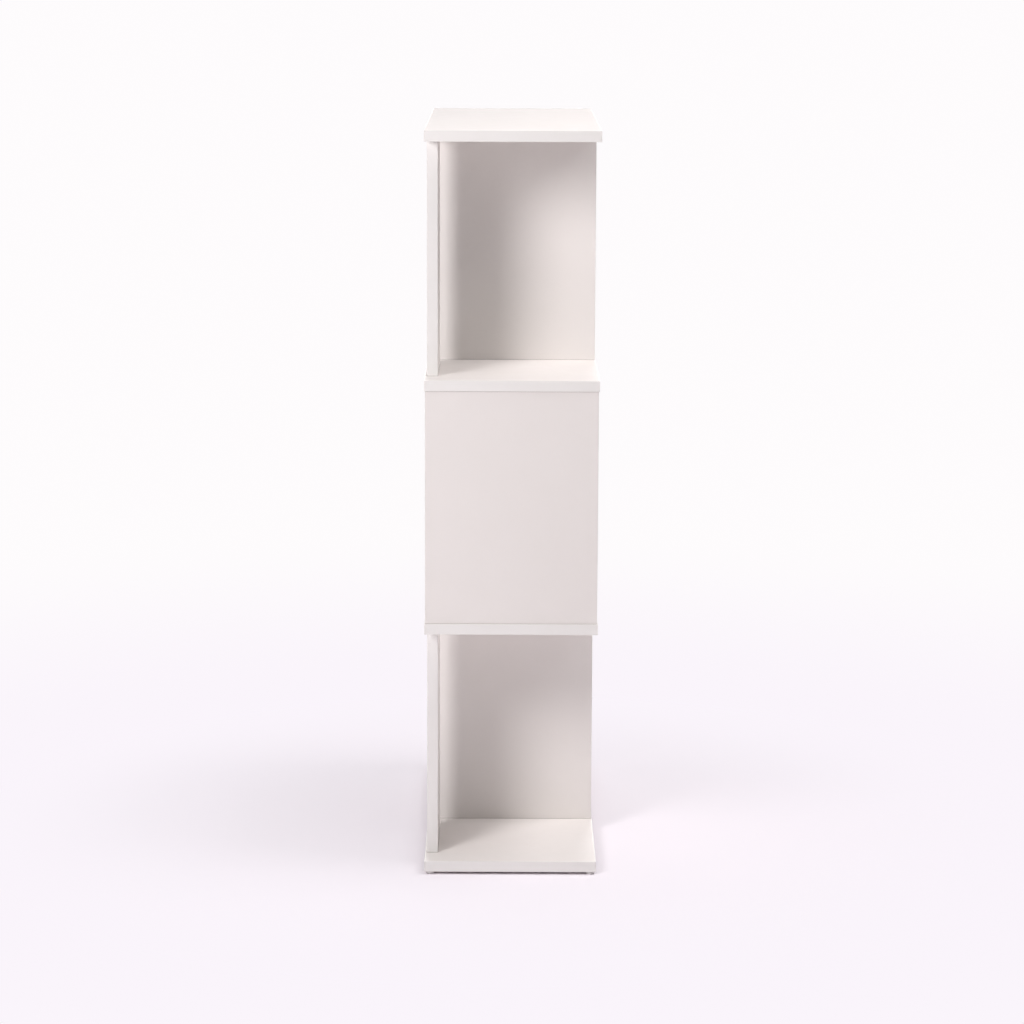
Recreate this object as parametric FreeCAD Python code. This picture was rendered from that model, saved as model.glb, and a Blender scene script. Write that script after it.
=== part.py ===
import FreeCAD, Part
import os

# A zigzag bookshelf, in millimetres. X runs along the boards, Y from the open front to the rear, Z up.
# The origin is on the floor, under the middle of the base board.

# Boards
SHELF_LENGTH = 600.0  # end to end of every board
SHELF_DEPTH = 240.0  # front edge to rear edge of every board
BOARD_THICKNESS = 15.0
TIER_HEIGHT = 324.0  # clear height between two boards

# Uprights
UPRIGHT_THICKNESS = 15.0
UPRIGHT_INSET = 1.0  # end panel and divider, behind the boards' long edges
END_SETBACK = 1.5  # end panel, behind the boards' ends
OPEN_BAY_LENGTH = 227.0  # open end to divider
PLATE_SETBACK = 45.0  # open end to rear plate
PLATE_GAP = 48.0  # rear plate to divider
PLATE_INSET = 3.0  # rear plate, behind the boards' rear edge

# Edge banding
BAND_THICKNESS = 1.0
EDGE_EASING = 0.4  # bevel along the outer edges of the banding

# Fixings and glides, drawn as bars with many flat sides
ROUND_SIDES = 16
FIT = 0.1  # clearance round a dowel, bolt, cam or peg
END_GAP = 0.5  # space left past the end of a dowel, bolt or peg
HOLE_FLOOR = 4.5  # board left under a blind hole
FIXING_SHIFT = 10.0  # row of fixings off the middle of its upright, so that rows above and below miss

# Dowels
DOWEL_DIAMETER = 8.0
DOWEL_REACH = 20.0  # length of a dowel inside its upright
DOWEL_MARGIN = 43.0  # dowels of an unshifted row to the long edges of an end panel or divider
PLATE_DOWEL_MARGIN = 30.0  # dowels to the upright edges of a rear plate

# Cam bolts
BOLT_DIAMETER = 5.0
BOLT_HEAD_DIAMETER = 7.4
BOLT_HEAD_LENGTH = 3.0
BOLT_CLEARANCE = 0.3  # room round a bolt in its upright and in its cam

# Cams
CAM_DIAMETER = 15.0
CAM_REACH = 34.0  # cam centre to the end of its upright
CAM_RECESS = 0.3  # cam face below the face of its upright
CAM_THROW = 1.0  # centre of the eccentric pocket to the cam centre
CAM_PLAY = 1.0  # room round the bolt's head in the pocket
DRIVE_LENGTH = 8.0  # cross recess for the screwdriver
DRIVE_WIDTH = 1.6

# Floor glides
GLIDE_DIAMETER = 12.0
GLIDE_HEIGHT = 4.0
GLIDE_BEVEL = 1.0
GLIDE_MARGIN = 2.0  # rim of a glide to the edges of the base board
PEG_DIAMETER = 5.0

# Boards from the floor up, and the tiers between them, each with the side of its open end
BOARDS = ("base_board", "lower_shelf", "upper_shelf", "top_board")
LEFT = -1
RIGHT = 1
TIERS = (("bottom_tier", LEFT), ("middle_tier", RIGHT), ("top_tier", LEFT))

# Sizes that follow from the ones above
UPRIGHT_WIDTH = SHELF_DEPTH - 2 * UPRIGHT_INSET
HOLE_DEPTH = BOARD_THICKNESS - HOLE_FLOOR
GRIP = HOLE_DEPTH - END_GAP  # length of a dowel, bolt or peg inside its board
DOWEL_HOLE = DOWEL_DIAMETER + 2 * FIT
BOLT_HOLE = BOLT_DIAMETER + 2 * FIT
BOLT_BORE = BOLT_HEAD_DIAMETER + 2 * BOLT_CLEARANCE
CAM_BORE_DEPTH = UPRIGHT_THICKNESS / 2 + BOLT_HEAD_DIAMETER / 2 + CAM_PLAY
CAM_HEAD = UPRIGHT_THICKNESS - CAM_BORE_DEPTH - CAM_RECESS  # solid metal above the pocket


def block(x_span, y_span, z_span):
    corner = FreeCAD.Vector(x_span[0], y_span[0], z_span[0])
    return Part.makeBox(x_span[1] - x_span[0], y_span[1] - y_span[0], z_span[1] - z_span[0], corner)


def many_sided(foot, axis, length, diameter):
    corners = Part.makeCircle(diameter / 2, foot, axis).discretize(Number=ROUND_SIDES + 1)
    return Part.Face(Part.makePolygon(corners)).extrude(axis * length)


def rod(place, z_start, z_end, diameter):
    """A bar along Z at an (x, y) place."""
    foot = FreeCAD.Vector(place[0], place[1], min(z_start, z_end))
    return many_sided(foot, FreeCAD.Vector(0, 0, 1), abs(z_end - z_start), diameter)


def disc(centre, x_start, x_end, diameter):
    """A bar along X, with its axis through a (y, z) centre."""
    foot = FreeCAD.Vector(min(x_start, x_end), centre[0], centre[1])
    return many_sided(foot, FreeCAD.Vector(1, 0, 0), abs(x_end - x_start), diameter)


def group(pieces):
    solids = []
    for piece in pieces:
        solids += piece.Solids
    return Part.makeCompound(solids)


def around(centre, size):
    return (centre - size / 2, centre + size / 2)


def between(first, second):
    return (min(first, second), max(first, second))


def inset(span, amount):
    return (span[0] + amount, span[1] - amount)


def middle(span):
    return (span[0] + span[1]) / 2


def from_open_end(open_side, near, far):
    """The X span between two distances from a tier's open end."""
    end = SHELF_LENGTH / 2
    return between(open_side * (end - near), open_side * (end - far))


def board_span(level):
    """The Z span of a board. The base board is level 0."""
    low = GLIDE_HEIGHT + level * (BOARD_THICKNESS + TIER_HEIGHT)
    return (low, low + BOARD_THICKNESS)


class Upright:
    """An upright sheet between two boards, with the places of its fixings."""

    def __init__(self, name, level, x_span, y_span):
        self.name = name
        self.level = level
        self.x_span = x_span
        self.y_span = y_span
        self.z_span = (board_span(level)[1], board_span(level + 1)[0])
        self.dowels = []
        self.cam_y = 0.0
        self.cam_side = 0  # way along X that the cams face, or 0 for an upright without cams

    def ends(self):
        """Each end as the level of its board, its height, and the way from the board into the upright."""
        return ((self.level, self.z_span[0], 1), (self.level + 1, self.z_span[1], -1))

    def cam_place(self):
        return (middle(self.x_span), self.cam_y)

    def cam_face(self):
        return self.x_span[1] if self.cam_side > 0 else self.x_span[0]


def wide_upright(name, level, x_span, cam_side, open_side):
    """An end panel or a divider, held at each end by a cam between two dowels."""
    upright = Upright(name, level, x_span, around(0, UPRIGHT_WIDTH))
    upright.cam_side = cam_side
    upright.cam_y = open_side * FIXING_SHIFT
    dowel_span = inset(upright.y_span, DOWEL_MARGIN)
    upright.dowels = [(middle(x_span), y + upright.cam_y) for y in dowel_span]
    return upright


def rear_plate(name, level, open_side):
    """A narrow plate along the rear edge of the open bay, held by dowels."""
    x_span = from_open_end(open_side, PLATE_SETBACK, OPEN_BAY_LENGTH - PLATE_GAP)
    rear_face = SHELF_DEPTH / 2 - PLATE_INSET
    plate = Upright(name, level, x_span, (rear_face - UPRIGHT_THICKNESS, rear_face))
    plate.dowels = [(x, middle(plate.y_span)) for x in inset(x_span, PLATE_DOWEL_MARGIN)]
    return plate


def tier_uprights(level, tier, open_side):
    closed_end = SHELF_LENGTH - END_SETBACK
    panel_x = from_open_end(open_side, closed_end - UPRIGHT_THICKNESS, closed_end)
    divider_x = from_open_end(open_side, OPEN_BAY_LENGTH, OPEN_BAY_LENGTH + UPRIGHT_THICKNESS)
    return (
        wide_upright(tier + "_end_panel", level, panel_x, open_side, open_side),
        wide_upright(tier + "_divider", level, divider_x, -open_side, open_side),
        rear_plate(tier + "_rear_plate", level, open_side),
    )


def upright_sheet(upright):
    """The chipboard of an upright before drilling: its two narrow standing edges take the banding."""
    x_span = upright.x_span
    y_span = upright.y_span
    if upright.cam_side:
        y_span = inset(y_span, BAND_THICKNESS)
    else:
        x_span = inset(x_span, BAND_THICKNESS)
    return block(x_span, y_span, upright.z_span)


def upright_core(upright):
    holes = []
    for _, end, inward in upright.ends():
        dowel_floor = end + inward * (DOWEL_REACH + END_GAP)
        holes += [rod(place, end, dowel_floor, DOWEL_HOLE) for place in upright.dowels]
        if upright.cam_side:
            cam_z = end + inward * CAM_REACH
            bore_floor = upright.cam_face() - upright.cam_side * CAM_BORE_DEPTH
            holes.append(rod(upright.cam_place(), end, cam_z, BOLT_BORE))
            holes.append(disc((upright.cam_y, cam_z), upright.cam_face(), bore_floor, CAM_DIAMETER))
    return upright_sheet(upright).cut(holes)


def upright_bands(upright):
    """Two strips, bevelled along the standing edges that show."""
    whole = block(upright.x_span, upright.y_span, upright.z_span)
    standing = [edge for edge in whole.Edges if edge.BoundBox.ZLength > TIER_HEIGHT / 2]
    return whole.makeChamfer(EDGE_EASING, standing).cut(upright_sheet(upright))


def board_sheet(level):
    """The chipboard of a board before drilling: all four edges take the banding."""
    x_span = inset(around(0, SHELF_LENGTH), BAND_THICKNESS)
    y_span = inset(around(0, SHELF_DEPTH), BAND_THICKNESS)
    return block(x_span, y_span, board_span(level))


def board_core(level, uprights):
    holes = glide_holes() if level == 0 else []
    for upright in uprights:
        for end_level, end, inward in upright.ends():
            if end_level == level:
                floor = end - inward * HOLE_DEPTH
                holes += [rod(place, end, floor, DOWEL_HOLE) for place in upright.dowels]
                if upright.cam_side:
                    holes.append(rod(upright.cam_place(), end, floor, BOLT_HOLE))
    return board_sheet(level).cut(holes)


def board_bands(level):
    """Four strips: the long ones cover the ends of the short ones."""
    x_span = around(0, SHELF_LENGTH)
    y_span = around(0, SHELF_DEPTH)
    z_span = board_span(level)
    inner_x = inset(x_span, BAND_THICKNESS)
    inner_y = inset(y_span, BAND_THICKNESS)
    whole = block(x_span, y_span, z_span)
    ring = whole.makeChamfer(EDGE_EASING, whole.Edges).cut(board_sheet(level))
    sides = (
        block(x_span, (y_span[0], inner_y[0]), z_span),
        block(x_span, (inner_y[1], y_span[1]), z_span),
        block((x_span[0], inner_x[0]), inner_y, z_span),
        block((inner_x[1], x_span[1]), inner_y, z_span),
    )
    return group([ring.common(side) for side in sides])


def dowels_of(upright):
    dowels = []
    for _, end, inward in upright.ends():
        tips = (end - inward * GRIP, end + inward * DOWEL_REACH)
        dowels += [rod(place, tips[0], tips[1], DOWEL_DIAMETER) for place in upright.dowels]
    return dowels


def bolts_of(upright):
    if not upright.cam_side:
        return []
    return [make_bolt(upright, end, inward) for _, end, inward in upright.ends()]


def make_bolt(upright, end, inward):
    """A cam bolt: its shank stands in the board and its head lies at the centre of the cam."""
    head_start = end + inward * (CAM_REACH - BOLT_HEAD_LENGTH / 2)
    head_end = head_start + inward * BOLT_HEAD_LENGTH
    shank = rod(upright.cam_place(), end - inward * GRIP, head_start, BOLT_DIAMETER)
    return shank.fuse(rod(upright.cam_place(), head_start, head_end, BOLT_HEAD_DIAMETER))


def cams_of(upright):
    if not upright.cam_side:
        return []
    return [make_cam(upright, end, inward) for _, end, inward in upright.ends()]


def make_cam(upright, end, inward):
    """A cup-shaped cam, turned so that the thick side of its rim lies under the bolt's head."""
    side = upright.cam_side
    cam_z = end + inward * CAM_REACH
    top = upright.cam_face() - side * CAM_RECESS
    rim = upright.cam_face() - side * (CAM_BORE_DEPTH - FIT)
    body = disc((upright.cam_y, cam_z), top, rim, CAM_DIAMETER - 2 * FIT)

    pocket_centre = (upright.cam_y, cam_z + inward * CAM_THROW)
    pocket = disc(pocket_centre, top - side * CAM_HEAD, rim, BOLT_HEAD_DIAMETER + 2 * CAM_PLAY)

    slot_width = BOLT_DIAMETER + 2 * BOLT_CLEARANCE
    slot_x = between(middle(upright.x_span) + side * slot_width / 2, rim)
    slot_z = between(cam_z, cam_z - inward * CAM_DIAMETER)
    slot = block(slot_x, around(upright.cam_y, slot_width), slot_z)

    drive_x = between(top, top - side * CAM_HEAD / 2)
    standing_bar = block(drive_x, around(upright.cam_y, DRIVE_WIDTH), around(cam_z, DRIVE_LENGTH))
    lying_bar = block(drive_x, around(upright.cam_y, DRIVE_LENGTH), around(cam_z, DRIVE_WIDTH))
    return body.cut([pocket, slot, standing_bar, lying_bar])


def glide_places():
    """The corners of the base board, by the name of the glide that stands there."""
    x = SHELF_LENGTH / 2 - GLIDE_MARGIN - GLIDE_DIAMETER / 2
    y = SHELF_DEPTH / 2 - GLIDE_MARGIN - GLIDE_DIAMETER / 2
    return {
        "front_left_glide": (-x, -y),
        "front_right_glide": (x, -y),
        "rear_left_glide": (-x, y),
        "rear_right_glide": (x, y),
    }


def glide(place):
    """A moulded glide: a bevelled pad with a peg pressed into the base board."""
    pad = rod(place, 0, GLIDE_HEIGHT, GLIDE_DIAMETER)
    floor_edges = [edge for edge in pad.Edges if edge.BoundBox.ZMax < GLIDE_HEIGHT / 2]
    peg = rod(place, GLIDE_HEIGHT, GLIDE_HEIGHT + GRIP, PEG_DIAMETER)
    return pad.makeChamfer(GLIDE_BEVEL, floor_edges).fuse(peg)


def glide_holes():
    underside = board_span(0)[0]
    peg_hole = PEG_DIAMETER + 2 * FIT
    return [rod(place, underside, underside + HOLE_DEPTH, peg_hole) for place in glide_places().values()]


def make_parts():
    """Every piece of the bookshelf, by name."""
    parts = {}
    tiers = {tier: tier_uprights(level, tier, open_side) for level, (tier, open_side) in enumerate(TIERS)}
    all_uprights = sum(tiers.values(), ())

    for level, name in enumerate(BOARDS):
        parts[name] = board_core(level, all_uprights)
        parts[name + "_edge_bands"] = board_bands(level)

    for tier, uprights in tiers.items():
        for upright in uprights:
            parts[upright.name] = upright_core(upright)
            parts[upright.name + "_edge_bands"] = upright_bands(upright)
        parts[tier + "_dowels"] = group([dowel for upright in uprights for dowel in dowels_of(upright)])
        parts[tier + "_cam_bolts"] = group([bolt for upright in uprights for bolt in bolts_of(upright)])
        parts[tier + "_cams"] = group([cam for upright in uprights for cam in cams_of(upright)])

    for name, place in glide_places().items():
        parts[name] = glide(place)
    return parts


os.makedirs("parts", exist_ok=True)
for name, shape in make_parts().items():
    group([shape]).exportStep("parts/" + name + ".step")
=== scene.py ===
import math

import bmesh
import bpy
from mathutils import Matrix, Vector


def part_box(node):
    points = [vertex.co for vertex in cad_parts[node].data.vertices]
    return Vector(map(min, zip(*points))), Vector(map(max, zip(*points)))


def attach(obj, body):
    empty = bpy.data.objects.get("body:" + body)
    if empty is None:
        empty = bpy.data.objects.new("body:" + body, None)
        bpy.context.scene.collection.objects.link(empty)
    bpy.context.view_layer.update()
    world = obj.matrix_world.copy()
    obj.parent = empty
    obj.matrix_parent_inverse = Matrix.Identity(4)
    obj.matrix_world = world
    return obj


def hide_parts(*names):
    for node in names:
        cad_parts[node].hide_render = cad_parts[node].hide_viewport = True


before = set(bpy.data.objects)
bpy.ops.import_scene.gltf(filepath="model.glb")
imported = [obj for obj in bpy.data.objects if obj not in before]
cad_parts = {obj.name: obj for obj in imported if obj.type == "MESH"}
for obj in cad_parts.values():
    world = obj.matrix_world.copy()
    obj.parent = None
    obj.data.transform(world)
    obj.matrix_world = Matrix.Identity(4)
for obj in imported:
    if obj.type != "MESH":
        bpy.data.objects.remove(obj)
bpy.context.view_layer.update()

# Sizes are in metres, angles in degrees, lamp power in watts and colours in linear light.
MM = 0.001

# Camera
CAMERA_PLACE = (-4.6853, 0.0086, 1.2847)
CAMERA_LENS = 114.06
SENSOR_WIDTH = 36.0
CAMERA_HEADING = -90.122
CAMERA_PITCH = 9.949
CAMERA_ROLL = 0.232

# Studio light: a round key lamp, two soft boxes, two reflectors on the floor and a dim room
LIGHT_TINT = (1.0, 0.968, 0.975)
LAMP_AIM = (0.0, 0.0, 0.5)
KEY_PLACE = (-1.9, 1.25, 1.65)
KEY_SIZE = 0.85
KEY_POWER = 38.4
OVERHEAD_PLACE = (-0.36, -1.35, 2.8)
OVERHEAD_SIZE = 1.4
OVERHEAD_POWER = 50.0
BACK_PLACE = (2.5, 0.0, 0.7)
BACK_SIZE = 1.4
BACK_POWER = 23.0
REFLECTOR_OUT = 0.85  # from the shelf's middle to the middle of each reflector
REFLECTOR_HEIGHT = 0.01
REFLECTOR_SIZE = 1.0
REFLECTOR_POWER = 5.0
ROOM_LIGHT = 0.126

# Floor and backdrop: paper that is seen as part white near the object and all white from the glow's end
BACKDROP_WHITE = (0.988, 0.968, 0.978)
FLOOR_WHITE = (0.956, 0.908, 0.965)
FLOOR_REACH = 14.0
FLOOR_TONE = (0.94, 0.89, 0.94)
FLOOR_ROUGHNESS = 0.85
GLOW_NEAR = 0.4  # share of plain white that is seen at the shelf's middle
GLOW_END = 0.8  # from the shelf's middle to where the share is 1
BACKDROP_END = 2.4  # the floor's own white passes into the backdrop's from the glow's end to here
CONTACT_REACH = 0.035  # the glow fades on floor that is this close under or beside the object
CONTACT_OPENNESS = 0.3  # and is gone where the floor is this open or less

# Colours of the pieces
BOARD_WHITE = (0.802, 0.772, 0.747)
BOARD_SHADE = (0.782, 0.751, 0.724)
BAND_WHITE = (0.812, 0.802, 0.780)
BAND_SHADE = (0.797, 0.785, 0.762)
WORN_WHITE = (0.70, 0.66, 0.63)
# painted shade for the corners where one piece meets another
PAINTED_JOINT_SHADE = (0.38, 0.35, 0.33)
BEECH_PALE = (0.62, 0.42, 0.25)
BEECH_DARK = (0.47, 0.29, 0.16)
BEECH_FLECK = (0.34, 0.19, 0.10)
STEEL = (0.66, 0.66, 0.64)
STEEL_DULL = (0.52, 0.52, 0.50)
STEEL_BRIGHT = (0.78, 0.78, 0.77)
ZINC = (0.60, 0.61, 0.63)
ZINC_DULL = (0.44, 0.45, 0.47)
PLASTIC = (0.70, 0.69, 0.67)
PLASTIC_SHADE = (0.63, 0.62, 0.60)
PLASTIC_WORN = (0.52, 0.51, 0.49)

# Masks and noise of the materials
NOISE_LOW = 0.3  # nearly all of the noise lies between these two
NOISE_HIGH = 0.7
MASK_SAMPLES = 8  # rays for each look at an edge or a corner
WORN_TURN = 0.8  # cosine of the bevel's turn at which an edge counts as all worn
JOINT_OPENNESS = 0.5  # the painted joint shade is full where a face is this open or less
FLAT_OPENNESS = 0.95  # and gone from here on

# Shapes of the small pieces
ROUND_SIDES = 64
SMOOTH_ANGLE = 40.0
WELD = 0.001 * MM  # corners of a CAD mesh that are this close are one
OVERCUT = 1.0 * MM  # cutters reach this far past the metal
DOWEL_FLUTES = 14
SIDES_PER_FLUTE = 6
FLUTE_DEPTH = 0.25 * MM
DOWEL_CHAMFER = 1.2 * MM
BOLT_DIAMETER = 5.0 * MM
BOLT_GRIP = 10.0 * MM  # threaded length inside the board
BOLT_NECK = 3.4 * MM
BOLT_NECK_LENGTH = 4.0 * MM
BOLT_HEAD_LENGTH = 3.0 * MM
HEAD_BEVEL = 0.5 * MM
THREAD_PITCH = 1.8 * MM
THREAD_DEPTH = 0.55 * MM
THREAD_SIDES = 32
ROWS_PER_TURN = 8
CAM_SLIM = 0.1 * MM  # taken off a cam's radius, so that it clears the flat sides of its bore
CAM_HEAD = 2.5 * MM  # solid metal above the pocket
CAM_RIM_WIDTH = 0.8 * MM
CAM_RIM_STEP = 0.25 * MM
CAM_BEVEL = 0.3 * MM
CAM_THROW = 1.0 * MM  # centre of the pocket to the cam's centre
POCKET_DIAMETER = 9.4 * MM
SLOT_WIDTH = 5.6 * MM
DRIVE_LENGTH = 8.0 * MM
DRIVE_WIDTH = 1.6 * MM
DRIVE_DEPTH = 1.4 * MM
MARK_LENGTH = 1.4 * MM
MARK_WIDTH = 2.0 * MM
MARK_DEPTH = 0.4 * MM
MARK_GAP = 0.2 * MM
GLIDE_EASING = 1.2 * MM
PEG_DIAMETER = 5.0 * MM
PEG_CHAMFER = 0.5 * MM

TIERS = ("bottom_tier", "middle_tier", "top_tier")
BOARDS = ("base_board", "lower_shelf", "upper_shelf", "top_board")
UPRIGHTS = tuple(tier + kind for tier in TIERS for kind in ("_end_panel", "_divider", "_rear_plate"))
GLIDES = ("front_left_glide", "front_right_glide", "rear_left_glide", "rear_right_glide")


class Surface:
    """A material with one Principled shader, and short calls for the textures that drive it."""

    def __init__(self, name, metallic=0.0):
        self.material = bpy.data.materials.new(name)
        self.material.use_nodes = True
        self.nodes = self.material.node_tree.nodes
        self.links = self.material.node_tree.links
        self.nodes.clear()
        self.shader = self.nodes.new("ShaderNodeBsdfPrincipled")
        self.shader.inputs["Metallic"].default_value = metallic
        self.output = self.nodes.new("ShaderNodeOutputMaterial")
        self.links.new(self.shader.outputs["BSDF"], self.output.inputs["Surface"])
        self.place = self.nodes.new("ShaderNodeTexCoord").outputs["Object"]

    def feed(self, socket, value):
        """Links a node's output to the socket, or sets the socket to a plain number or colour."""
        if isinstance(value, bpy.types.NodeSocket):
            self.links.new(value, socket)
        elif isinstance(value, tuple):
            socket.default_value = (*value, 1.0)
        else:
            socket.default_value = value

    def stretched(self, along_z):
        """The object's coordinates with Z scaled, which draws a texture out along it."""
        node = self.nodes.new("ShaderNodeMapping")
        node.inputs["Scale"].default_value = (1.0, 1.0, along_z)
        self.links.new(self.place, node.inputs["Vector"])
        return node.outputs["Vector"]

    def noise(self, cells, detail=2.0, place=None):
        """Noise with that many cells to the metre, spread from 0 to 1."""
        node = self.nodes.new("ShaderNodeTexNoise")
        node.inputs["Scale"].default_value = cells
        node.inputs["Detail"].default_value = detail
        self.links.new(place or self.place, node.inputs["Vector"])
        return self.spread(node.outputs["Fac"], low=0.0, high=1.0, start=NOISE_LOW, end=NOISE_HIGH)

    def spread(self, factor, low, high, start=0.0, end=1.0, curve="LINEAR"):
        """The factor's range from start to end, taken to the range from low to high."""
        node = self.nodes.new("ShaderNodeMapRange")
        node.interpolation_type = curve
        node.inputs["From Min"].default_value = start
        node.inputs["From Max"].default_value = end
        node.inputs["To Min"].default_value = low
        node.inputs["To Max"].default_value = high
        self.links.new(factor, node.inputs["Value"])
        return node.outputs["Result"]

    def mix(self, factor, first, second):
        """The first colour where the factor is 0, the second where it is 1."""
        node = self.nodes.new("ShaderNodeMix")
        node.data_type = "RGBA"
        self.links.new(factor, node.inputs["Factor"])
        sockets = [socket for socket in node.inputs if socket.type == "RGBA"]
        self.feed(sockets[0], first)
        self.feed(sockets[1], second)
        return node.outputs["Result"]

    def edges(self, width, most):
        """A mask that rises to most within that width of a sharp edge."""
        bevel = self.nodes.new("ShaderNodeBevel")
        bevel.samples = MASK_SAMPLES
        bevel.inputs["Radius"].default_value = width
        flat = self.nodes.new("ShaderNodeNewGeometry").outputs["True Normal"]
        turn = self.nodes.new("ShaderNodeVectorMath")
        turn.operation = "DOT_PRODUCT"
        self.links.new(bevel.outputs["Normal"], turn.inputs[0])
        self.links.new(flat, turn.inputs[1])
        return self.spread(turn.outputs["Value"], low=most, high=0.0, start=WORN_TURN)

    def openness(self, reach):
        """1 on open surfaces, falling to about a half in a corner within that reach."""
        node = self.nodes.new("ShaderNodeAmbientOcclusion")
        node.samples = MASK_SAMPLES
        node.inputs["Distance"].default_value = reach
        return node.outputs["AO"]

    def joints(self, width, most):
        """A mask of painted shade that rises to most in the corner where one piece meets another."""
        opened = self.openness(width)
        return self.spread(opened, low=most, high=0.0, start=JOINT_OPENNESS, end=FLAT_OPENNESS)

    def finish(self, colour, roughness, height=None, depth=0.0):
        """Drives the shader's colour, roughness and, where there is a height, its bump."""
        self.feed(self.shader.inputs["Base Color"], colour)
        self.feed(self.shader.inputs["Roughness"], roughness)
        if height is not None:
            bump = self.nodes.new("ShaderNodeBump")
            bump.inputs["Distance"].default_value = depth
            self.links.new(height, bump.inputs["Height"])
            self.links.new(bump.outputs["Normal"], self.shader.inputs["Normal"])
        return self.material


def white_melamine():
    """Pressed melamine paper on chipboard: fine pearl grain, faint mottling, worn edges and painted
    shade in its joints.
    """
    surface = Surface("white_melamine")
    mottled = surface.mix(surface.noise(cells=7.0, detail=3.0), BOARD_WHITE, BOARD_SHADE)
    flecks = surface.spread(surface.noise(cells=600.0), low=0.0, high=0.5)
    flecked = surface.mix(flecks, mottled, BOARD_SHADE)
    worn = surface.mix(surface.edges(width=0.8 * MM, most=0.5), flecked, WORN_WHITE)
    # painted shade in the corners where pieces meet
    colour = surface.mix(surface.joints(width=1.5 * MM, most=0.7), worn, PAINTED_JOINT_SHADE)
    roughness = surface.spread(surface.noise(cells=55.0), low=0.46, high=0.58)
    grain = surface.noise(cells=1100.0, detail=3.0)
    return surface.finish(colour, roughness, height=grain, depth=0.05 * MM)


def edge_band():
    """Plastic edge banding: smoother and a little cooler than the boards, with painted shade in its
    joints.
    """
    surface = Surface("edge_band")
    mottled = surface.mix(surface.noise(cells=18.0, detail=3.0), BAND_WHITE, BAND_SHADE)
    worn = surface.mix(surface.edges(width=0.8 * MM, most=0.8), mottled, WORN_WHITE)
    # painted shade in the corners where pieces meet
    colour = surface.mix(surface.joints(width=1.5 * MM, most=0.7), worn, PAINTED_JOINT_SHADE)
    roughness = surface.spread(surface.noise(cells=120.0), low=0.30, high=0.40)
    return surface.finish(colour, roughness, height=surface.noise(cells=900.0), depth=0.02 * MM)


def beech():
    """Beech dowel rod: pale grain along its length, with short dark flecks."""
    surface = Surface("beech")
    grain = surface.noise(cells=300.0, detail=4.0, place=surface.stretched(along_z=0.08))
    fleck = surface.noise(cells=900.0, detail=1.0, place=surface.stretched(along_z=0.2))
    plain = surface.mix(grain, BEECH_PALE, BEECH_DARK)
    colour = surface.mix(surface.spread(fleck, low=0.0, high=0.8, start=0.75), plain, BEECH_FLECK)
    roughness = surface.spread(grain, low=0.55, high=0.72)
    return surface.finish(colour, roughness, height=grain, depth=0.06 * MM)


def bolt_steel():
    """Zinc-plated steel with dull patches and worn edges."""
    surface = Surface("bolt_steel", metallic=1.0)
    patches = surface.noise(cells=400.0, detail=3.0)
    plated = surface.mix(patches, STEEL, STEEL_DULL)
    colour = surface.mix(surface.edges(width=0.2 * MM, most=0.6), plated, STEEL_BRIGHT)
    roughness = surface.spread(patches, low=0.24, high=0.42)
    return surface.finish(colour, roughness, height=surface.noise(cells=2500.0), depth=0.01 * MM)


def cam_zinc():
    """Die-cast zinc: grey, with a fine cast grain and brighter worn edges."""
    surface = Surface("cam_zinc", metallic=1.0)
    cast = surface.noise(cells=700.0, detail=4.0)
    dull = surface.mix(cast, ZINC, ZINC_DULL)
    colour = surface.mix(surface.edges(width=0.3 * MM, most=0.7), dull, STEEL)
    roughness = surface.spread(cast, low=0.34, high=0.52)
    grain = surface.noise(cells=3000.0, detail=3.0)
    return surface.finish(colour, roughness, height=grain, depth=0.02 * MM)


def glide_plastic():
    """Moulded pale grey plastic with a fine moulded grain and slightly worn edges."""
    surface = Surface("glide_plastic")
    grain = surface.noise(cells=1800.0, detail=3.0)
    moulded = surface.mix(surface.noise(cells=90.0), PLASTIC, PLASTIC_SHADE)
    colour = surface.mix(surface.edges(width=0.4 * MM, most=0.5), moulded, PLASTIC_WORN)
    roughness = surface.spread(grain, low=0.42, high=0.6)
    return surface.finish(colour, roughness, height=grain, depth=0.03 * MM)


def islands(node):
    """The lowest and highest corners of each separate solid in a CAD node."""
    bm = bmesh.new()
    bm.from_mesh(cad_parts[node].data)
    bmesh.ops.remove_doubles(bm, verts=bm.verts, dist=WELD)
    boxes = []
    waiting = set(bm.verts)
    while waiting:
        reached = [waiting.pop()]
        for vert in reached:
            near = {edge.other_vert(vert) for edge in vert.link_edges} & waiting
            waiting -= near
            reached.extend(near)
        low = Vector([min(vert.co[axis] for vert in reached) for axis in range(3)])
        high = Vector([max(vert.co[axis] for vert in reached) for axis in range(3)])
        boxes.append((low, high))
    bm.free()
    return sorted(boxes, key=lambda box: tuple(box[0]))


def skinned(rings):
    """A closed mesh over rings of (x, y, z) places, from the lowest ring to the last."""
    bm = bmesh.new()
    loops = [[bm.verts.new(place) for place in places] for places in rings]
    for lower, upper in zip(loops, loops[1:]):
        for step in range(len(lower)):
            following = (step + 1) % len(lower)
            bm.faces.new((lower[step], lower[following], upper[following], upper[step]))
    bm.faces.new(reversed(loops[0]))
    bm.faces.new(loops[-1])
    return to_mesh(bm)


def round_angles(sides):
    return [2 * math.pi * step / sides for step in range(sides)]


def ring(radii, height):
    """Places round Z at that height, evenly turned, one at each radius."""
    angles = round_angles(len(radii))
    return [(r * math.cos(a), r * math.sin(a), height) for r, a in zip(radii, angles)]


def turned(heights, sides, reach):
    """A closed mesh round Z: a ring at each height, of radius reach(angle, height)."""
    angles = round_angles(sides)
    return skinned([ring([reach(a, height) for a in angles], height) for height in heights])


def lathe(profile):
    """A closed mesh round Z through (radius, height) points, from the foot round to the top."""
    return skinned([ring([radius] * ROUND_SIDES, height) for radius, height in profile])


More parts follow.
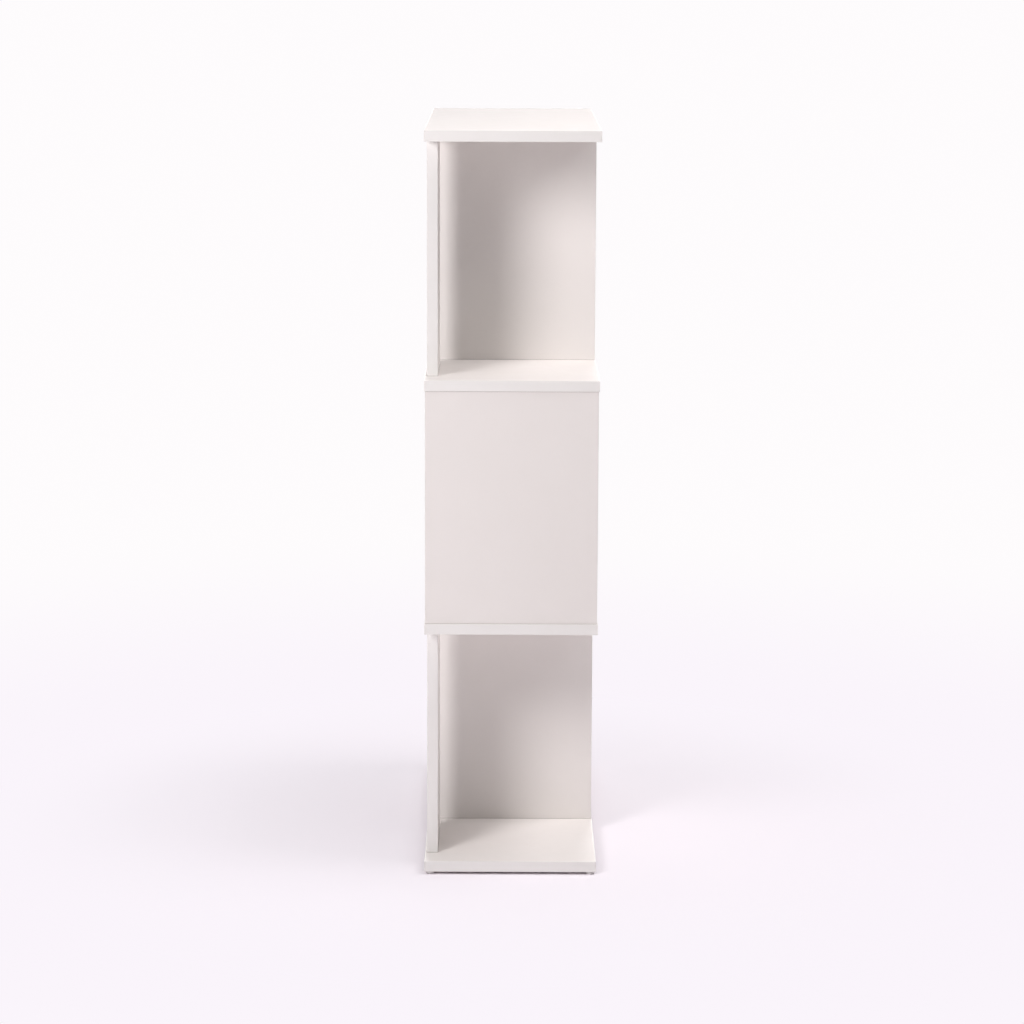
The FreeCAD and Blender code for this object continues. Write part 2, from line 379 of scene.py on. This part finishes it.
def prism(outline, low, high):
    """A closed mesh that stands on an (x, y) outline, from low to high."""
    bm = bmesh.new()
    foot = bm.faces.new([bm.verts.new((x, y, low)) for x, y in outline])
    raised = bmesh.ops.extrude_face_region(bm, geom=[foot])["geom"]
    corners = [item for item in raised if isinstance(item, bmesh.types.BMVert)]
    bmesh.ops.translate(bm, vec=(0.0, 0.0, high - low), verts=corners)
    return to_mesh(bm)


def bar(x_span, y_span, low, high):
    """A closed box over two spans, from low to high."""
    left, right = x_span
    front, back = y_span
    return prism([(left, front), (right, front), (right, back), (left, back)], low, high)


def to_mesh(bm):
    """A mesh from the bmesh, with its normals outward and its round faces shaded smooth."""
    bmesh.ops.recalc_face_normals(bm, faces=bm.faces)
    mesh = bpy.data.meshes.new("piece")
    bm.to_mesh(mesh)
    bm.free()
    for face in mesh.polygons:
        face.use_smooth = True
    mesh.set_sharp_from_angle(angle=math.radians(SMOOTH_ANGLE))
    return mesh


def add_object(name, data):
    thing = bpy.data.objects.new(name, data)
    bpy.context.collection.objects.link(thing)
    return thing


def carved(mesh, cutters):
    """The mesh with each cutter taken out of it."""
    body = add_object("body", mesh)
    tools = [add_object("tool", cutter) for cutter in cutters]
    for tool in tools:
        cut = body.modifiers.new("cut", "BOOLEAN")
        cut.operation = "DIFFERENCE"
        cut.solver = "EXACT"
        cut.object = tool
    ready = body.evaluated_get(bpy.context.evaluated_depsgraph_get())
    bm = bmesh.new()
    bm.from_mesh(ready.to_mesh())
    for thing in [body] + tools:
        bpy.data.objects.remove(thing)
    return to_mesh(bm)


def together(placed):
    """One mesh of several (mesh, matrix) pairs, each mesh moved by its matrix."""
    bm = bmesh.new()
    for mesh, place in placed:
        before = set(bm.verts)
        bm.from_mesh(mesh)
        added = [vert for vert in bm.verts if vert not in before]
        bmesh.ops.transform(bm, matrix=place, verts=added)
    return to_mesh(bm)


def add_piece(name, mesh, material, node):
    """A new piece that stands for a CAD node."""
    mesh.materials.append(material)
    piece = add_object(name, mesh)
    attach(piece, "root")
    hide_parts(node)


def middle(box):
    """The centre of a box, given as its lowest and highest corners."""
    return (box[0] + box[1]) / 2


def upright_round(place):
    """The box of the upright that holds a place."""
    for name in UPRIGHTS:
        low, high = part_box(name)
        if all(low[axis] < place[axis] < high[axis] for axis in range(3)):
            return low, high


def dowel_mesh(radius, length):
    """A fluted dowel with chamfered ends, standing on the origin."""

    def reach(angle, height):
        from_end = min(height, length - height)
        chamfer = max(0.0, DOWEL_CHAMFER - from_end) / 2
        flute = FLUTE_DEPTH * (1 + math.cos(DOWEL_FLUTES * angle)) / 2
        return radius - chamfer - flute

    heights = (0.0, DOWEL_CHAMFER, length - DOWEL_CHAMFER, length)
    return turned(heights, DOWEL_FLUTES * SIDES_PER_FLUTE, reach)


def add_dowels(tier, material):
    """Fluted dowels in the places of a tier's plain ones."""
    placed = []
    for low, high in islands(tier + "_dowels"):
        foot = Vector((*middle((low, high)).xy, low.z))
        mesh = dowel_mesh((high.x - low.x) / 2, high.z - low.z)
        placed.append((mesh, Matrix.Translation(foot)))
    add_piece(tier + "_fluted_dowels", together(placed), material, tier + "_dowels")


def bolt_mesh(head_radius, length):
    """The two meshes of a cam bolt on the origin: a threaded end below, and a shank, neck and head."""
    neck_end = length - BOLT_HEAD_LENGTH
    neck_start = neck_end - BOLT_NECK_LENGTH

    def thread(angle, height):
        turn = (height / THREAD_PITCH - angle / (2 * math.pi)) % 1.0
        crest = (1 - abs(2 * turn - 1)) ** 2
        taper = min(1.0, height / THREAD_PITCH, (BOLT_GRIP - height) / THREAD_PITCH)
        return BOLT_DIAMETER / 2 - THREAD_DEPTH * (1 - crest * max(0.0, taper))

    rows = round(BOLT_GRIP / THREAD_PITCH * ROWS_PER_TURN)
    threaded = turned([BOLT_GRIP * row / rows for row in range(rows + 1)], THREAD_SIDES, thread)
    plain = lathe((
        (BOLT_DIAMETER / 2 - THREAD_DEPTH, BOLT_GRIP),
        (BOLT_DIAMETER / 2, BOLT_GRIP + THREAD_DEPTH),
        (BOLT_DIAMETER / 2, neck_start),
        (BOLT_NECK / 2, neck_start + (BOLT_DIAMETER - BOLT_NECK) / 2),
        (BOLT_NECK / 2, neck_end),
        (head_radius - HEAD_BEVEL, neck_end),
        (head_radius, neck_end + HEAD_BEVEL),
        (head_radius, length - HEAD_BEVEL),
        (head_radius - HEAD_BEVEL, length),
    ))
    return threaded, plain


def add_bolts(tier, material):
    """Threaded bolts in the places of a tier's plain ones, each with its head in an upright."""
    placed = []
    for low, high in islands(tier + "_cam_bolts"):
        centre = middle((low, high))
        holder = upright_round(centre)
        points_up = centre.z < middle(holder).z
        foot = Vector((*centre.xy, low.z if points_up else high.z))
        turn = Matrix.Identity(4) if points_up else Matrix.Rotation(math.pi, 4, "X")
        for mesh in bolt_mesh((high.x - low.x) / 2, high.z - low.z):
            placed.append((mesh, Matrix.Translation(foot) @ turn))
    add_piece(tier + "_threaded_bolts", together(placed), material, tier + "_cam_bolts")


def cam_mesh(radius, thickness, axis_depth):
    """A cam that faces +Z from the origin, with its bolt coming from +X, axis_depth below the face."""
    foot = -thickness
    dish = radius - CAM_RIM_WIDTH
    body = lathe((
        (radius - CAM_BEVEL, foot),
        (radius, foot + CAM_BEVEL),
        (radius, -CAM_BEVEL),
        (radius - CAM_BEVEL, 0.0),
        (dish, 0.0),
        (dish - CAM_RIM_STEP, -CAM_RIM_STEP),
    ))
    pocket = lathe(((POCKET_DIAMETER / 2, foot - OVERCUT), (POCKET_DIAMETER / 2, -CAM_HEAD)))
    pocket.transform(Matrix.Translation((-CAM_THROW, 0.0, 0.0)))
    slot_half = SLOT_WIDTH / 2
    slot = bar((0.0, 2 * radius), (-slot_half, slot_half), foot - OVERCUT, slot_half - axis_depth)
    drive = (-DRIVE_LENGTH / 2, DRIVE_LENGTH / 2)
    width = (-DRIVE_WIDTH / 2, DRIVE_WIDTH / 2)
    mark_start = dish - CAM_RIM_STEP - MARK_LENGTH - MARK_GAP
    mark_tip = mark_start + MARK_LENGTH
    mark = [(mark_start, -MARK_WIDTH / 2), (mark_tip, 0.0), (mark_start, MARK_WIDTH / 2)]
    return carved(body, (
        pocket,
        slot,
        bar(drive, width, -DRIVE_DEPTH, OVERCUT),
        bar(width, drive, -DRIVE_DEPTH, OVERCUT),
        prism(mark, -CAM_RIM_STEP - MARK_DEPTH, OVERCUT),
    ))


def add_cams(tier, material):
    """Cast cams in the places of a tier's plain ones, each turned to its bolt."""
    placed = []
    for low, high in islands(tier + "_cams"):
        centre = middle((low, high))
        holder = middle(upright_round(centre))
        faces_right = centre.x > holder.x
        face_x = high.x if faces_right else low.x
        outward = Vector((1.0 if faces_right else -1.0, 0.0, 0.0))
        to_board = Vector((0.0, 0.0, -1.0 if centre.z < holder.z else 1.0))
        turn = Matrix((to_board, outward.cross(to_board), outward)).transposed().to_4x4()
        place = Matrix.Translation((face_x, centre.y, centre.z)) @ turn
        radius = (high.y - low.y) / 2 - CAM_SLIM
        placed.append((cam_mesh(radius, high.x - low.x, abs(face_x - holder.x)), place))
    add_piece(tier + "_cast_cams", together(placed), material, tier + "_cams")


def add_glide(node, material):
    """A round glide with an eased foot and a peg that goes up into the base board."""
    low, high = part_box(node)
    radius = (high.x - low.x) / 2
    board_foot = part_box("base_board")[0].z
    mesh = lathe((
        (radius - GLIDE_EASING, low.z),
        (radius - GLIDE_EASING / 3, low.z + GLIDE_EASING / 3),
        (radius, low.z + GLIDE_EASING),
        (radius, board_foot),
        (PEG_DIAMETER / 2, board_foot),
        (PEG_DIAMETER / 2, high.z - PEG_CHAMFER),
        (PEG_DIAMETER / 2 - PEG_CHAMFER, high.z),
    ))
    mesh.transform(Matrix.Translation((*middle((low, high)).xy, 0.0)))
    add_piece(node.replace("_glide", "_round_glide"), mesh, material, node)


def point_at(thing, aim):
    thing.rotation_euler = (Vector(aim) - thing.location).to_track_quat("-Z", "Y").to_euler()


def add_lamp(name, shape, place, size, power):
    """A lamp that points at the shelf's middle."""
    light = bpy.data.lights.new(name, "AREA")
    light.shape = shape
    light.size = size
    light.energy = power
    light.color = LIGHT_TINT
    lamp = add_object(name, light)
    lamp.location = place
    lamp.visible_camera = False
    point_at(lamp, LAMP_AIM)
    return lamp


def add_reflector(name, out):
    """A soft square that lies on the floor beside the shelf and faces up."""
    place = (0.0, out, REFLECTOR_HEIGHT)
    reflector = add_lamp(name, "SQUARE", place, REFLECTOR_SIZE, REFLECTOR_POWER)
    reflector.rotation_euler = (math.pi, 0.0, 0.0)


def add_lamps():
    key = add_lamp("key_lamp", "DISK", KEY_PLACE, KEY_SIZE, KEY_POWER)
    key.visible_glossy = False  # its glare would hide the top board from the far side
    add_lamp("overhead_lamp", "SQUARE", OVERHEAD_PLACE, OVERHEAD_SIZE, OVERHEAD_POWER)
    add_lamp("back_lamp", "SQUARE", BACK_PLACE, BACK_SIZE, BACK_POWER)
    add_reflector("left_reflector", REFLECTOR_OUT)
    add_reflector("right_reflector", -REFLECTOR_OUT)


def add_camera():
    """The photograph's view."""
    data = bpy.data.cameras.new("camera")
    data.lens = CAMERA_LENS
    data.sensor_width = SENSOR_WIDTH
    camera = add_object("camera", data)
    heading = Matrix.Rotation(math.radians(CAMERA_HEADING), 3, "Z")
    tilt = Matrix.Rotation(math.radians(90.0 - CAMERA_PITCH), 3, "X")
    roll = Matrix.Rotation(math.radians(CAMERA_ROLL), 3, "Z")
    camera.location = CAMERA_PLACE
    camera.rotation_euler = (heading @ tilt @ roll).to_euler()
    bpy.context.scene.camera = camera


def combined(nodes, links, operation, first, second):
    """The sum or product of two factors, held between 0 and 1."""
    node = nodes.new("ShaderNodeMath")
    node.operation = operation
    node.use_clamp = True
    links.new(first, node.inputs[0])
    links.new(second, node.inputs[1])
    return node.outputs["Value"]


def seen_directly(nodes, links):
    """1 for rays from the camera, from a shiny surface or through glass, and 0 for others."""
    path = nodes.new("ShaderNodeLightPath").outputs
    factor = path["Is Camera Ray"]
    for kind in ("Is Glossy Ray", "Is Transmission Ray"):
        factor = combined(nodes, links, "ADD", factor, path[kind])
    return factor


def floor_paper():
    """Matt paper with a faint grain, which is seen as more and more white away from the object."""
    surface = Surface("floor_paper")
    nodes = surface.nodes
    links = surface.links
    grain = surface.noise(cells=400.0, detail=3.0)
    surface.finish(FLOOR_TONE, FLOOR_ROUGHNESS, height=grain, depth=0.05 * MM)
    distance = nodes.new("ShaderNodeVectorMath")
    distance.operation = "LENGTH"
    links.new(surface.place, distance.inputs[0])
    out = distance.outputs["Value"]
    far = surface.spread(out, 0.0, 1.0, start=GLOW_END, end=BACKDROP_END, curve="SMOOTHSTEP")
    share = surface.spread(out, GLOW_NEAR, 1.0, start=0.0, end=GLOW_END, curve="SMOOTHSTEP")
    clear = surface.spread(surface.openness(CONTACT_REACH), 0.0, 1.0, start=CONTACT_OPENNESS)
    for factor in (clear, seen_directly(nodes, links)):
        share = combined(nodes, links, "MULTIPLY", share, factor)
    white = nodes.new("ShaderNodeEmission")
    links.new(surface.mix(far, FLOOR_WHITE, BACKDROP_WHITE), white.inputs["Color"])
    mixed = nodes.new("ShaderNodeMixShader")
    links.new(share, mixed.inputs["Fac"])
    links.new(surface.shader.outputs["BSDF"], mixed.inputs[1])
    links.new(white.outputs["Emission"], mixed.inputs[2])
    links.new(mixed.outputs["Shader"], surface.output.inputs["Surface"])
    return surface.material


def add_floor():
    """A wide square of paper under the shelf."""
    mesh = bpy.data.meshes.new("floor")
    r = FLOOR_REACH
    mesh.from_pydata([(-r, -r, 0), (r, -r, 0), (r, r, 0), (-r, r, 0)], [], [(0, 1, 2, 3)])
    mesh.materials.append(floor_paper())
    floor = add_object("floor", mesh)


def add_world():
    """A dim even light on the object, in front of a white backdrop."""
    world = bpy.data.worlds.new("studio")
    bpy.context.scene.world = world
    world.use_nodes = True
    nodes = world.node_tree.nodes
    links = world.node_tree.links
    room = nodes["Background"]
    room.inputs["Color"].default_value = (*LIGHT_TINT, 1.0)
    room.inputs["Strength"].default_value = ROOM_LIGHT
    backdrop = nodes.new("ShaderNodeBackground")
    backdrop.inputs["Color"].default_value = (*BACKDROP_WHITE, 1.0)
    mixed = nodes.new("ShaderNodeMixShader")
    links.new(seen_directly(nodes, links), mixed.inputs["Fac"])
    links.new(room.outputs["Background"], mixed.inputs[1])
    links.new(backdrop.outputs["Background"], mixed.inputs[2])
    links.new(mixed.outputs["Shader"], nodes["World Output"].inputs["Surface"])


def dress(node, material):
    """Gives a CAD node its finish."""
    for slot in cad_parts[node].material_slots:
        slot.material = material


bpy.context.scene.view_settings.view_transform = "Standard"
board_finish = white_melamine()
band_finish = edge_band()
for name in BOARDS + UPRIGHTS:
    dress(name, board_finish)
    dress(name + "_edge_bands", band_finish)

wood = beech()
steel = bolt_steel()
zinc = cam_zinc()
for tier in TIERS:
    add_dowels(tier, wood)
    add_bolts(tier, steel)
    add_cams(tier, zinc)

plastic = glide_plastic()
for glide in GLIDES:
    add_glide(glide, plastic)

add_camera()
add_lamps()
add_floor()
add_world()
